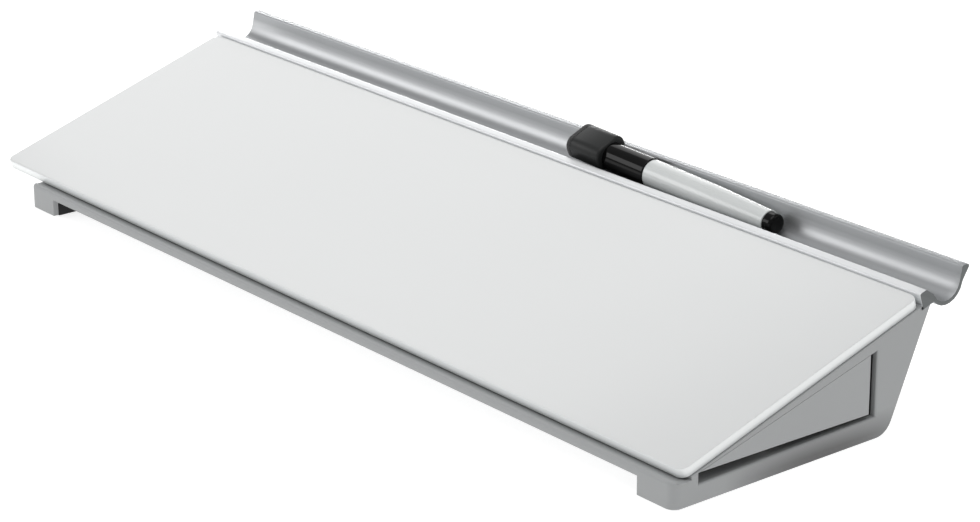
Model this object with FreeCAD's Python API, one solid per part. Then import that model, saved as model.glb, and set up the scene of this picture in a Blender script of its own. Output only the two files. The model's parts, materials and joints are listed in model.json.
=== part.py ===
import FreeCAD, Part
import math
import os

# Desk whiteboard easel: a glass writing board on a wedge base, with a drawer in the
# right end, a pen trough along the back and a dry-wipe marker lying in the trough.
# Millimetres. +X runs along the board to its right end, +Y to the back, +Z up.
# The origin is on the desk, under the middle of the whole object's length and depth.

# Board
board_length = 457.0
board_depth = 125.0
board_thickness = 4.0
board_tilt = 17.3
board_front_height = 14.6
board_corner = 4.0
board_edge_bevel = 0.5

# White film, steel sheet and foam tape under the glass
film_thickness = 0.2
film_inset = 0.5
steel_thickness = 0.5
tape_thickness = 1.0
tape_width = 12.0
tape_count = 3
sheet_gap = 0.3
tape_inset = 5.0

# Base shell
tray_overhang = 0.8
left_overhang = 27.6
ledge_depth = 4.5
ledge_height = 11.0
ledge_lip = 2.4
ledge_drop = 0.8
wall = 2.5
deck_thickness = 2.2
rim_width = 3.3
rim_setback = 3.2
base_corner = 4.0
ledge_round = 1.2
rail_depth = 10.5
arch_height = 8.0
leg_width = 19.2
shelf_bottom = 6.0
shelf_thickness = 1.7
floor_gap = 0.5
rear_lean = 24.0
rear_step = 3.65
rear_round = 8.5
rib_thickness = 1.6
rib_clearance = 0.6
bay_rib_gap = 6.0
field_ribs = 2

# Bottom cover, its bosses and screws
cover_thickness = 2.0
cover_gap = 0.3
cover_front_setback = 1.5
boss_radius = 3.2
boss_wall_gap = 3.2
screw_shank = 1.25
screw_head = 2.7
screw_head_height = 1.5
screw_bite = 3.2
pilot_spare = 0.4
hole_clearance = 0.3
thread_fit = 0.05
cover_screw_inset = 17.0

# Rubber feet
foot_length = 20.0
foot_gap = 0.2
foot_bevel = 0.6
foot_rear_setback = 12.0
peg_radius = 1.9
peg_fit = 0.1

# Drawer, its mouth in the right end wall, and what it slides on
mouth_front = 12.0
mouth_rear_margin = 9.6
mouth_sill_front = 7.7
mouth_sill_back = 9.3
mouth_rail_front = 0.4
mouth_rail_back = 4.4
mouth_edge_round = 0.8
mouth_pocket = 7.5
mouth_pocket_skin = 1.0
mouth_pocket_share = 0.16
front_plate = 2.3
front_side_gap = 3.2
front_top_gap = 0.15
front_sill_gap = 1.7
front_tip_setback = 1.2
front_tip_height = 0.3
front_edge_round = 0.6
drawer_length = 200.0
drawer_travel = 140.0
drawer_wall = 1.5
drawer_floor_height = 14.5
drawer_front_wall = 42.0
drawer_deck_clearance = 0.7
drawer_back_inset = 1.0
drawer_screw_head = 2.0
drawer_screw_head_height = 1.2
drawer_screw_shank = 1.0
drawer_screw_bite = 1.8
drawer_screw_shares = (0.45, 0.82)
runner_width = 5.0
runner_inset = 6.0
runner_clearance = 0.3
guide_width = 1.5
guide_depth = 2.5
finger_room = 5.0
hook_thickness = 3.0
hook_width_share = 0.47
hook_foot_gap = 1.5
stop_thickness = 4.0
stop_top_gap = 1.0
stop_clearance = 0.3

# Pen tray behind the glass
tray_wall = 1.7
tray_glass_gap = 0.25
tray_lip_rise = 1.3
tray_lip_width = 3.55
tray_lip_round = 1.2
trough_radius = 7.2
trough_setback = 13.95
trough_rise = 2.4
trough_front_lean = 35.0
trough_back_lean = 12.0
trough_shoulder_drop = 2.9
trough_shoulder_round = 1.5
trough_back_rise = 4.8
tray_top_round = 0.9
tray_top_width = 4.4
tray_flare_drop = 6.2
tray_flare_round = 3.2
tray_web_reach = 13.7
tray_web_gap = 0.6
tray_screw_inset = 6.5
tray_screw_end_inset = 40.0
tray_screw_count = 4

# Marker: barrel, plug, nib and filler, then its cap with the eraser block
marker_place = 65.0
marker_clearance = 0.3
barrel_length = 69.0
barrel_radius = 6.0
barrel_waist_radius = 5.9
barrel_tail_radius = 4.9
barrel_waist_share = 0.52
barrel_bore = 4.0
plug_radius = 4.4
plug_length = 4.5
plug_spigot = 11.0
plug_round = 1.2
spigot_fit = 0.05
holder_spigot = 8.0
holder_band = 8.0
holder_band_radius = 5.33
holder_neck_radius = 4.9
holder_neck = 12.0
holder_nose_radius = 2.8
holder_cone = 10.0
holder_nose = 2.0
nib_radius = 1.8
nib_reach = 6.0
nib_tip_round = 1.5
nib_tail = 6.0
filler_gap = 0.2
cap_length = 37.0
cap_rim_radius = 6.5
cap_end_radius = 6.2
cap_bore = 5.4
cap_end_wall = 1.5
liner_length = 9.0
liner_wall = 1.0
block_length = 17.5
block_overlap = 12.5
block_width = 16.2
block_height = 10.9
block_lift = 1.95
block_round = 4.5
block_edge_round = 1.0
block_roll = 24.0
felt_thickness = 2.5
magnet_radius = 4.0
magnet_thickness = 2.2

# How far a cutting tool runs past the face that it cuts, how deep pieces of one moulding
# reach into each other, and how near two points or two faces are taken as one
overrun = 2.0
sink = 0.05
face_fit = 0.05
join_fit = 0.00001
settle_steps = 40

TILT = math.radians(board_tilt)
FRONT_LEAN = math.radians(trough_front_lean)
BACK_LEAN = math.radians(trough_back_lean)
REAR_LEAN = math.radians(rear_lean)


# Places in the cross-section
# A point is (y, z), with y counted from the front face of the base.

def on_board(along, above):
    """Point at a distance up the board's slope, and above its top face."""
    y = ledge_depth + along * math.cos(TILT) - above * math.sin(TILT)
    z = board_front_height + along * math.sin(TILT) + above * math.cos(TILT)
    return y, z


def below_board(y, depth):
    """Height of the plane that lies depth under the board's top face, at y."""
    top = board_front_height + (y - ledge_depth) * math.tan(TILT)
    return top - depth / math.cos(TILT)


rim_depth = board_thickness + film_thickness
seat_depth = rim_depth + steel_thickness + tape_thickness
deck_depth = seat_depth + deck_thickness
board_rear = on_board(board_depth, 0)
trough_centre = (board_rear[0] + trough_setback, board_rear[1] + trough_rise)


def trough_wall(side, radius, height):
    """Y of a trough wall's face: side -1 is the front wall and 1 the back wall."""
    lean = FRONT_LEAN if side < 0 else BACK_LEAN
    reach = (radius + math.sin(lean) * (height - trough_centre[1])) / math.cos(lean)
    return trough_centre[0] + side * reach


def trough_apex(radius, front_lean):
    """Point where tangents to the trough's round, at its front and at its back wall, meet."""
    drop = radius * (math.cos(front_lean) + math.cos(BACK_LEAN)) / math.sin(front_lean + BACK_LEAN)
    height = trough_centre[1] - drop
    return trough_wall(1, radius, height), height


trough_top = trough_centre[1] + trough_back_rise
trough_shoulder_z = trough_centre[1] - trough_shoulder_drop
trough_shoulder = (trough_wall(-1, trough_radius, trough_shoulder_z), trough_shoulder_z)
tray_top_edge = trough_wall(1, trough_radius, trough_top) + tray_top_width
flare_z = trough_top - tray_flare_drop
flare_y = trough_wall(1, trough_radius + tray_wall, flare_z)
flare_angle = math.atan2(tray_top_edge - flare_y, tray_flare_drop)
overall_depth = tray_top_edge - tray_top_round * (math.tan(flare_angle) + 1 / math.cos(flare_angle) - 1)
front_y = -overall_depth / 2
overall_length = board_length + 2 * tray_overhang
right_end = overall_length / 2
left_end = -board_length / 2 + left_overhang
leg_left = left_end + leg_width
leg_right = right_end - leg_width
shelf_top = shelf_bottom + shelf_thickness
rear_top = on_board(board_depth + tray_glass_gap - sheet_gap + rear_step, -seat_depth)
cover_bottom = arch_height - cover_thickness


def rear_face(z, inset):
    """Y of the slanted rear wall at a height, inset from its outer face."""
    return rear_top[0] - (rear_top[1] - z) * math.tan(REAR_LEAN) - inset / math.cos(REAR_LEAN)


mouth_back = rear_face(shelf_top, 0) - mouth_rear_margin
drawer_right = right_end - front_plate
drawer_left = drawer_right - drawer_length


# Shape helpers

def outline(corners, x):
    """Closed wire in the plane at x from (y, z, radius) corners, each rounded by its radius."""
    count = len(corners)
    ends = []
    for i in range(count):
        y, z, radius = corners[i]
        here = FreeCAD.Vector(x, y + front_y, z)
        before = FreeCAD.Vector(x, corners[i - 1][0] + front_y, corners[i - 1][1])
        after = FreeCAD.Vector(x, corners[(i + 1) % count][0] + front_y, corners[(i + 1) % count][1])
        back = (before - here).normalize()
        on = (after - here).normalize()
        if radius <= 0:
            ends.append((here, None, here))
            continue
        half = back.getAngle(on) / 2
        reach = radius / math.tan(half)
        middle = (back + on).normalize()
        mid_point = here + middle * (radius / math.sin(half) - radius)
        ends.append((here + back * reach, mid_point, here + on * reach))
    edges = []
    for i in range(count):
        start, mid_point, end = ends[i]
        if mid_point is not None:
            edges.append(Part.Arc(start, mid_point, end).toShape())
        following = ends[(i + 1) % count][0]
        if (following - end).Length > join_fit:
            edges.append(Part.LineSegment(end, following).toShape())
    return Part.Wire(edges)


def prism(corners, x_start, x_end):
    """Solid of a cross-section carried along X."""
    face = Part.Face(outline(corners, x_start))
    return face.extrude(FreeCAD.Vector(x_end - x_start, 0, 0))


def block(x_start, x_end, y_start, y_end, z_start, z_end):
    """Box between two corners, with y counted from the base's front face."""
    corner = FreeCAD.Vector(x_start, y_start + front_y, z_start)
    return Part.makeBox(x_end - x_start, y_end - y_start, z_end - z_start, corner)


def plate_on_board(x_start, x_end, along_start, along_end, low, high):
    """Plate parallel to the board between two depths under its top face."""
    corners = [on_board(along_start, -low), on_board(along_end, -low),
               on_board(along_end, -high), on_board(along_start, -high)]
    return prism([(y, z, 0) for y, z in corners], x_start, x_end)


def upright(radius, x, y, z_start, z_end):
    """Upright round pin, with y counted from the base's front face."""
    foot = FreeCAD.Vector(x, y + front_y, z_start)
    return Part.makeCylinder(radius, z_end - z_start, foot)


def turned(profile):
    """Solid of revolution about X from (x, radius) points."""
    points = [FreeCAD.Vector(x, 0, radius) for x, radius in profile]
    wire = Part.makePolygon(points + points[:1])
    return Part.Face(wire).revolve(FreeCAD.Vector(0, 0, 0), FreeCAD.Vector(1, 0, 0), 360)


def edges_where(shape, test):
    """Edges of a shape whose middle point and direction pass the test."""
    chosen = []
    for edge in shape.Edges:
        middle = edge.valueAt((edge.FirstParameter + edge.LastParameter) / 2)
        if test(middle, edge):
            chosen.append(edge)
    return chosen


def is_upright(edge):
    """Whether an edge is straight and runs along Z."""
    first, last = edge.Vertexes[0].Point, edge.Vertexes[-1].Point
    flat_run = math.hypot(last.x - first.x, last.y - first.y)
    return flat_run < face_fit and abs(last.z - first.z) > face_fit


def save(shape, name):
    """Writes one sub-part as its own file."""
    shape.exportStep("parts/" + name + ".step")


# Board: toughened glass, the white film on its back, the steel sheet that magnets
# hold to, and the foam tape that bonds the sheet to the base

def square_to_board(middle, edge):
    """Whether an edge is straight and square to the board."""
    along = edge.Vertexes[-1].Point - edge.Vertexes[0].Point
    normal = FreeCAD.Vector(0, -math.sin(TILT), math.cos(TILT))
    return abs(abs(along.normalize().dot(normal)) - 1) < face_fit


def glass_panel():
    half = board_length / 2
    pane = plate_on_board(-half, half, 0, board_depth, 0, board_thickness)
    pane = pane.makeFillet(board_corner, edges_where(pane, square_to_board))
    normal = FreeCAD.Vector(0, -math.sin(TILT), math.cos(TILT))
    reach = normal.dot(FreeCAD.Vector(0, board_rear[0] + front_y, board_rear[1]))

    def on_top(middle, edge):
        return abs(normal.dot(middle) - reach) < face_fit

    return pane.makeChamfer(board_edge_bevel, edges_where(pane, on_top))


def white_film():
    half = board_length / 2 - film_inset
    film = plate_on_board(-half, half, film_inset, board_depth - film_inset, board_thickness, rim_depth)
    return film.makeFillet(board_corner - film_inset, edges_where(film, square_to_board))


rim_right = right_end - mouth_pocket - mouth_pocket_skin
sheet_left = left_end + rim_width + sheet_gap
sheet_right = rim_right - sheet_gap
sheet_front = rim_setback + rim_width + sheet_gap
web_front = board_depth - tray_web_reach
sheet_back = web_front - tray_web_gap


def steel_sheet():
    low = rim_depth + steel_thickness
    return plate_on_board(sheet_left, sheet_right, sheet_front, sheet_back, rim_depth, low)


def foam_tape_strips():
    pitch = (sheet_back - sheet_front - tape_width - tape_inset) / (tape_count - 1)
    left = sheet_left + tape_inset
    right = sheet_right - tape_inset
    top = seat_depth - tape_thickness
    strips = []
    for i in range(tape_count):
        start = sheet_front + tape_inset / 2 + i * pitch
        strips.append(plate_on_board(left, right, start, start + tape_width, top, seat_depth))
    return Part.makeCompound(strips)


# Base shell: one moulding with a deck under the glass, a low front rail, a slanted
# rear wall, two end walls that reach the desk as legs, and the drawer's mouth

cover_screw_places = []
first_cover_screw = leg_left + cover_screw_inset
last_cover_screw = leg_right - cover_screw_inset
for place_x in (first_cover_screw, (first_cover_screw + last_cover_screw) / 2, last_cover_screw):
    cover_screw_places.append((place_x, rail_depth + boss_wall_gap + boss_radius))
    cover_screw_places.append((place_x, rear_face(arch_height, wall) - boss_radius - boss_wall_gap / 2))

tray_screw_along = board_depth - tray_screw_inset
tray_screw_pitch = (right_end - left_end - 2 * tray_screw_end_inset) / (tray_screw_count - 1)
tray_screw_places = []
for i in range(tray_screw_count):
    tray_screw_places.append(left_end + tray_screw_end_inset + i * tray_screw_pitch)
rib_places = [drawer_left - bay_rib_gap - rib_thickness]
for i in range(field_ribs):
    rib_places.append(tray_screw_places[0] + (i + 1) * tray_screw_pitch / (field_ribs + 1))
foot_back_end = rear_face(floor_gap, 0) - foot_rear_setback
foot_starts = (wall + foot_gap, foot_back_end - foot_length)
foot_spans = ((left_end + wall + foot_gap, leg_left), (leg_right, right_end - wall - foot_gap))


def mouth_top(y):
    """Height of the mouth's upper edge, which closes in on the glass to the front."""
    front = below_board(mouth_front, rim_depth) - mouth_rail_front
    back = below_board(mouth_back, rim_depth) - mouth_rail_back
    return front + (back - front) * (y - mouth_front) / (mouth_back - mouth_front)


def base_shell():
    rim_start = on_board(rim_setback, -rim_depth)
    rim_stop = board_depth + tray_glass_gap - sheet_gap
    side = [
        (0, floor_gap, 0),
        (0, ledge_height, 0),
        (rim_start[0], ledge_height, 0),
        rim_start + (0,),
        on_board(rim_stop, -rim_depth) + (0,),
        on_board(rim_stop, -seat_depth) + (0,),
        rear_top + (0,),
        (rear_face(floor_gap, 0), floor_gap, rear_round),
    ]
    shell = prism(side, left_end, right_end)

    def front_corner(middle, edge):
        return is_upright(edge) and abs(middle.y - front_y) < face_fit and middle.z < ledge_height

    def ledge_edge(middle, edge):
        before_rim = middle.y - front_y < rim_start[0] - face_fit
        return before_rim and abs(middle.z - ledge_height) < face_fit

    shell = shell.makeFillet(base_corner, edges_where(shell, front_corner))
    shell = shell.makeFillet(ledge_round, edges_where(shell, ledge_edge))
    # A groove behind the ledge's lip keeps the ledge clear of the glass
    shell = shell.cut(block(left_end - overrun, right_end + overrun, ledge_lip, rim_start[0],
                            ledge_height - ledge_drop, ledge_height + overrun))

    cavity_top = on_board((rear_face(below_board(rear_top[0], deck_depth), wall) - ledge_depth
                           - deck_depth * math.sin(TILT)) / math.cos(TILT), -deck_depth)
    cavity = [
        (rail_depth, shelf_top, 0),
        (rail_depth, below_board(rail_depth, deck_depth), 0),
        cavity_top + (0,),
        (rear_face(shelf_top, wall), shelf_top, 0),
    ]
    shell = shell.cut(prism(cavity, left_end + wall, right_end - wall))
    past_rear = rear_top[0] + overrun
    shell = shell.cut(block(leg_left, leg_right, -overrun, past_rear, -overrun, arch_height))
    shell = shell.cut(plate_on_board(left_end + rim_width, rim_right, rim_setback + rim_width,
                                     rim_stop + overrun, 0, seat_depth))

    for start, stop in ((left_end + wall, leg_left + overrun), (leg_right - overrun, right_end - wall)):
        shell = shell.cut(block(start, stop, wall, foot_back_end + foot_gap, -overrun, shelf_bottom))
    for span in foot_spans:
        for start in foot_starts:
            middle_y = start + foot_length / 2
            hole = upright(peg_radius + peg_fit, sum(span) / 2, middle_y, 0, shelf_top + overrun)
            shell = shell.cut(hole)

    ribs = []
    for place in rib_places:
        low = arch_height + rib_clearance
        inside_rail = rail_depth - wall / 2
        inside_deck = deck_depth - deck_thickness / 2
        rear_low = rear_face(low, wall / 2)
        rear_high = rear_face(below_board(rear_low, inside_deck), wall / 2)
        for step in range(settle_steps):
            rear_high = rear_face(below_board(rear_high, inside_deck), wall / 2)
        rib = [
            (inside_rail, low, 0),
            (inside_rail, below_board(inside_rail, inside_deck), 0),
            (rear_high, below_board(rear_high, inside_deck), 0),
            (rear_low, low, 0),
        ]
        ribs.append(prism(rib, place, place + rib_thickness))
    bosses = []
    for x, y in cover_screw_places:
        top = below_board(y, deck_depth - deck_thickness / 2)
        bosses.append(upright(boss_radius, x, y, arch_height, top))
    shell = shell.fuse(ribs + bosses)
    thread = screw_shank + thread_fit
    thread_end = arch_height + screw_bite + pilot_spare
    for x, y in cover_screw_places:
        shell = shell.cut(upright(thread, x, y, arch_height - overrun, thread_end))
    hole = screw_shank + hole_clearance
    for x in tray_screw_places:
        shell = shell.cut(board_pin(hole, x, tray_screw_along, deck_depth + overrun, seat_depth - overrun))

    mouth = [
        (mouth_front, mouth_sill_front, 0),
        (mouth_back, mouth_sill_back, 0),
        (mouth_back, mouth_top(mouth_back), 0),
        (mouth_front, mouth_top(mouth_front), 0),
    ]
    shell = shell.cut(prism(mouth, right_end - wall - sink, right_end + overrun))
    # A pocket in the deck behind the mouth's tip makes room for a fingertip
    pocket_low = below_board(mouth_front, deck_depth) - sink
    pocket_back = mouth_front + mouth_pocket_share * (mouth_back - mouth_front)
    pocket = [
        (mouth_front, pocket_low, 0),
        (pocket_back, pocket_low, 0),
        (pocket_back, mouth_top(pocket_back), 0),
        (mouth_front, mouth_top(mouth_front), 0),
    ]
    shell = shell.cut(prism(pocket, right_end - mouth_pocket, right_end - wall))

    def mouth_edge(middle, edge):
        on_face = abs(middle.x - right_end) < face_fit
        y = middle.y - front_y
        at_sill = abs(middle.z - (mouth_sill_front + mouth_sill_back) / 2) < face_fit
        at_back = abs(y - mouth_back) < face_fit
        return on_face and (at_sill or at_back)

    return shell.makeFillet(mouth_edge_round, edges_where(shell, mouth_edge)).removeSplitter()


def board_pin(radius, x, along, low, high):
    """Round pin square to the board between two depths under its top face."""
    y, z = on_board(along, -low)
    axis = FreeCAD.Vector(0, -math.sin(TILT), math.cos(TILT))
    return Part.makeCylinder(radius, low - high, FreeCAD.Vector(x, y + front_y, z), axis)


# Bottom cover: a flat moulded plate between the legs, screwed up into the bosses

def bottom_cover():
    back = rear_face(arch_height, wall) - cover_gap
    plate = block(leg_left + cover_gap, leg_right - cover_gap, rail_depth + cover_front_setback, back,
                  cover_bottom, arch_height)
    hole = screw_shank + hole_clearance
    for x, y in cover_screw_places:
        plate = plate.cut(upright(hole, x, y, cover_bottom - overrun, arch_height + overrun))
    return plate


def cover_screws():
    screws = []
    for x, y in cover_screw_places:
        head = upright(screw_head, x, y, cover_bottom - screw_head_height, cover_bottom)
        shank = upright(screw_shank, x, y, cover_bottom - screw_head_height / 2, arch_height + screw_bite)
        screws.append(head.fuse(shank).removeSplitter())
    return Part.makeCompound(screws)


# Rubber feet: a block in each leg, its peg pushed up into the leg's shelf

def rubber_foot(span, start):
    pad = block(span[0], span[1], start, start + foot_length, 0, shelf_bottom)

    def under(middle, edge):
        return abs(middle.z) < face_fit

    pad = pad.makeChamfer(foot_bevel, edges_where(pad, under))
    peg = upright(peg_radius, sum(span) / 2, start + foot_length / 2, shelf_bottom - overrun, shelf_top)
    return pad.fuse(peg).removeSplitter()


# Drawer: a wedge-shaped box with a separate front plate that closes the mouth

drawer_back = mouth_back - front_side_gap - drawer_back_inset
drawer_inner_floor = drawer_floor_height + drawer_wall
guide_inner_front = drawer_front_wall + runner_inset + runner_width + runner_clearance
guide_inner_back = drawer_back - runner_inset - runner_width - runner_clearance
hook_middle = (guide_inner_front + guide_inner_back) / 2
hook_width = hook_width_share * (guide_inner_back - guide_inner_front - 2 * guide_width)
guide_end = drawer_right - finger_room


def drawer_top(y):
    """Height of the drawer's open edge, clear of the deck and of the mouth's upper edge."""
    return min(below_board(y, deck_depth), mouth_top(y)) - drawer_deck_clearance


drawer_screw_places = []
for share in drawer_screw_shares:
    screw_y = drawer_front_wall + share * (drawer_back - drawer_front_wall)
    drawer_screw_places.append((screw_y, (drawer_inner_floor + drawer_top(screw_y)) / 2))


def cross_pin(radius, x_start, x_end, y, z):
    """Round pin along X, with y counted from the base's front face."""
    start = FreeCAD.Vector(x_start, y + front_y, z)
    return Part.makeCylinder(radius, x_end - x_start, start, FreeCAD.Vector(1, 0, 0))


def drawer_box():
    outer = [
        (drawer_front_wall, drawer_floor_height, 0),
        (drawer_back, drawer_floor_height, 0),
        (drawer_back, drawer_top(drawer_back), 0),
        (drawer_front_wall, drawer_top(drawer_front_wall), 0),
    ]
    inner_front = drawer_front_wall + drawer_wall
    inner_back = drawer_back - drawer_wall
    inner = [
        (inner_front, drawer_inner_floor, 0),
        (inner_back, drawer_inner_floor, 0),
        (inner_back, drawer_top(inner_back) + overrun, 0),
        (inner_front, drawer_top(inner_front) + overrun, 0),
    ]
    box = prism(outer, drawer_left, drawer_right)
    box = box.cut(prism(inner, drawer_left + drawer_wall, drawer_right - drawer_wall))
    low = drawer_floor_height - guide_depth
    seat = drawer_floor_height + sink
    guides = []
    for start in (guide_inner_front, guide_inner_back - guide_width):
        guides.append(block(drawer_left, guide_end, start, start + guide_width, low, seat))
    hook_low = arch_height + hook_foot_gap
    hook = block(drawer_left, drawer_left + hook_thickness, hook_middle - hook_width / 2,
                 hook_middle + hook_width / 2, hook_low, seat)
    box = box.fuse(guides + [hook])
    for y, z in drawer_screw_places:
        box = box.cut(cross_pin(drawer_screw_shank + hole_clearance, drawer_right - drawer_wall - overrun,
                                drawer_right + overrun, y, z))
    return box.removeSplitter()


def rounding_waste(start, stop):
    """What the plate's rounded outer edge loses, on a line that has the plate on its left."""
    run = FreeCAD.Vector(0, stop[0] - start[0], stop[1] - start[1])
    reach = run.Length + 2 * overrun
    run = run.normalize()
    inward = FreeCAD.Vector(0, -run.z, run.y)
    outward = FreeCAD.Vector(1, 0, 0)
    corner = FreeCAD.Vector(right_end, start[0] + front_y, start[1]) - run * overrun
    middle = corner + (inward - outward) * front_edge_round
    low = corner - outward * front_edge_round
    high = corner + inward * front_edge_round
    halfway = middle + (outward - inward).normalize() * front_edge_round
    bow = Part.Arc(low, halfway, high).toShape()
    rest = Part.makePolygon([high, high + outward * overrun, corner + (outward - inward) * overrun,
                             low - inward * overrun, low])
    return Part.Face(Part.Wire([bow] + rest.Edges)).extrude(run * reach)


def drawer_front():
    tip = mouth_front + front_tip_setback
    back = mouth_back - front_side_gap
    tip_top = mouth_top(tip) - front_top_gap
    low_tip = (tip, tip_top - front_tip_height)
    low_back = (back, mouth_sill_back + front_sill_gap)
    high_back = (back, mouth_top(back) - front_top_gap)
    face = [low_tip + (0,), low_back + (0,), high_back + (0,), (tip, tip_top, 0)]
    plate = prism(face, drawer_right, right_end)
    plate = plate.cut(rounding_waste(low_tip, low_back)).cut(rounding_waste(low_back, high_back))
    for y, z in drawer_screw_places:
        plate = plate.cut(cross_pin(drawer_screw_shank + thread_fit, drawer_right - overrun,
                                    drawer_right + drawer_screw_bite, y, z))
    return plate


def drawer_front_screws():
    screws = []
    inside = drawer_right - drawer_wall
    for y, z in drawer_screw_places:
        head = cross_pin(drawer_screw_head, inside - drawer_screw_head_height, inside, y, z)
        shank = cross_pin(drawer_screw_shank, inside - drawer_screw_head_height / 2,
                          drawer_right + drawer_screw_bite - thread_fit, y, z)
        screws.append(head.fuse(shank).removeSplitter())
    return Part.makeCompound(screws)


def drawer_runner(y):
    """Slippery strip on the cover that the drawer's floor rides on."""
    return block(drawer_left, guide_end, y, y + runner_width, arch_height, drawer_floor_height)


def drawer_stop():
    """Post on the cover that the drawer's hook meets at full reach."""
    start = drawer_left + hook_thickness + drawer_travel + stop_clearance
    return block(start, start + stop_thickness, hook_middle - hook_width / 2, hook_middle + hook_width / 2,
                 arch_height, drawer_floor_height - stop_top_gap)


# Pen tray: one silver section with a lip behind the glass, a round-bottomed trough
# and a flat web that runs in under the glass and is screwed to the deck

def pen_tray():
    outer_radius = trough_radius + tray_wall
    leg_along = board_depth + tray_glass_gap
    shoulder_y, shoulder_z = trough_shoulder
    foot_y = trough_centre[0]
    for step in range(settle_steps):
        foot_drop = trough_centre[1] - below_board(foot_y, seat_depth)
        foot_y = trough_centre[0] - math.sqrt(outer_radius ** 2 - foot_drop ** 2)
    foot_lean = math.asin(foot_drop / outer_radius)
    section = [
        on_board(web_front, -seat_depth) + (0,),
        on_board(web_front, -rim_depth) + (0,),
        on_board(leg_along, -rim_depth) + (0,),
        on_board(leg_along, tray_lip_rise) + (tray_lip_round,),
        on_board(leg_along + tray_lip_width, tray_lip_rise) + (tray_lip_round,),
        (shoulder_y, shoulder_z, trough_shoulder_round),
        trough_apex(trough_radius, FRONT_LEAN) + (trough_radius,),
        (trough_wall(1, trough_radius, trough_top), trough_top, tray_top_round),
        (tray_top_edge, trough_top, tray_top_round),
        (flare_y, flare_z, tray_flare_round),
        trough_apex(outer_radius, foot_lean) + (outer_radius,),
        (foot_y, below_board(foot_y, seat_depth), 0),
    ]
    tray = prism(section, -right_end, right_end)
    start = web_front - overrun
    below = seat_depth + overrun
    for left, right in ((-right_end - overrun, sheet_left), (sheet_right, right_end + overrun)):
        tray = tray.cut(plate_on_board(left, right, start, leg_along, rim_depth, below))
    thread = screw_shank + thread_fit
    for x in tray_screw_places:
        tray = tray.cut(board_pin(thread, x, tray_screw_along, below, rim_depth - overrun))
    return tray


def tray_screws():
    screws = []
    for x in tray_screw_places:
        head = board_pin(screw_head, x, tray_screw_along, deck_depth + screw_head_height, deck_depth)
        shank = board_pin(screw_shank, x, tray_screw_along, deck_depth + screw_head_height / 2,
                          rim_depth + hole_clearance)
        screws.append(head.fuse(shank).removeSplitter())
    return Part.makeCompound(screws)


# Marker, turned about its own X axis with the cap's rim at x = 0

filler_start = holder_spigot + filler_gap
filler_stop = barrel_length - plug_spigot - filler_gap


def marker_barrel():
    waist = barrel_length * barrel_waist_share
    return turned([(0, barrel_bore), (0, barrel_radius), (waist, barrel_waist_radius),
                   (barrel_length, barrel_tail_radius), (barrel_length, barrel_bore)])


def marker_end_plug():
    spigot = barrel_bore - spigot_fit
    end = barrel_length + plug_length
    plug = turned([(barrel_length - plug_spigot, 0), (barrel_length - plug_spigot, spigot),
                   (barrel_length, spigot), (barrel_length, plug_radius), (end, plug_radius), (end, 0)])

    def end_rim(middle, edge):
        return abs(middle.x - end) < face_fit and edge.Length > plug_radius

    return plug.makeFillet(plug_round, edges_where(plug, end_rim))


def marker_nib_holder():
    spigot = barrel_bore - spigot_fit
    bore = nib_radius + spigot_fit
    return turned([(holder_spigot, bore), (holder_spigot, spigot), (0, spigot), (0, holder_band_radius),
                   (-holder_band, holder_band_radius), (-holder_band, holder_neck_radius),
                   (-holder_neck, holder_neck_radius), (-holder_neck - holder_cone, holder_nose_radius),
                   (-holder_neck - holder_cone - holder_nose, holder_nose_radius),
                   (-holder_neck - holder_cone - holder_nose, bore)])


def marker_nib():
    tip = -holder_neck - holder_cone - holder_nose - nib_reach
    tail = filler_start + nib_tail
    nib = turned([(tip, 0), (tip, nib_radius), (tail, nib_radius), (tail, 0)])

    def tip_rim(middle, edge):
        return abs(middle.x - tip) < face_fit and edge.Length > nib_radius

    return nib.makeFillet(nib_tip_round, edges_where(nib, tip_rim))


def marker_filler():
    radius = barrel_bore - spigot_fit
    socket = nib_radius + spigot_fit
    deep = filler_start + nib_tail + filler_gap
    return turned([(filler_start, socket), (filler_start, radius), (filler_stop, radius), (filler_stop, 0),
                   (deep, 0), (deep, socket)])


def marker_cap():
    inner_end = -cap_length + cap_end_wall
    return turned([(0, cap_bore), (0, cap_rim_radius), (-cap_length, cap_end_radius), (-cap_length, 0),
                   (inner_end, 0), (inner_end, cap_bore)])


def cap_liner():
    outer = cap_bore - spigot_fit
    start = -cap_length + cap_end_wall
    return turned([(start, outer - liner_wall), (start, outer), (start + liner_length, outer),
                   (start + liner_length, outer - liner_wall)])


def head_slab(x_start, x_end, edge_round):
    """Slab with the eraser head's rounded outline, lifted off the marker's axis."""
    corner = FreeCAD.Vector(x_start, -block_width / 2, block_lift - block_height / 2)
    slab = Part.makeBox(x_end - x_start, block_width, block_height, corner)

    def along_x(middle, edge):
        return abs(middle.x - (x_start + x_end) / 2) < face_fit

    slab = slab.makeFillet(block_round, edges_where(slab, along_x))
    if edge_round > 0:
        def cap_side(middle, edge):
            return abs(middle.x - x_end) < face_fit

        slab = slab.makeFillet(edge_round, edges_where(slab, cap_side))
    return slab


head_stop = -cap_length + block_overlap
head_start = head_stop - block_length


def eraser_block():
    body = head_slab(head_start, head_stop, block_edge_round)
    socket = turned([(-cap_length - filler_gap, 0), (-cap_length - filler_gap, cap_end_radius + spigot_fit),
                     (-cap_length, cap_end_radius + spigot_fit), (0, cap_rim_radius + spigot_fit), (0, 0)])
    pocket = Part.makeCylinder(magnet_radius + spigot_fit, magnet_thickness + filler_gap,
                               FreeCAD.Vector(head_start, 0, block_lift), FreeCAD.Vector(1, 0, 0))
    return body.cut(socket).cut(pocket)


def eraser_felt():
    return head_slab(head_start - felt_thickness, head_start, 0)


def cap_magnet():
    return Part.makeCylinder(magnet_radius, magnet_thickness, FreeCAD.Vector(head_start, 0, block_lift),
                             FreeCAD.Vector(1, 0, 0))


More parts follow.
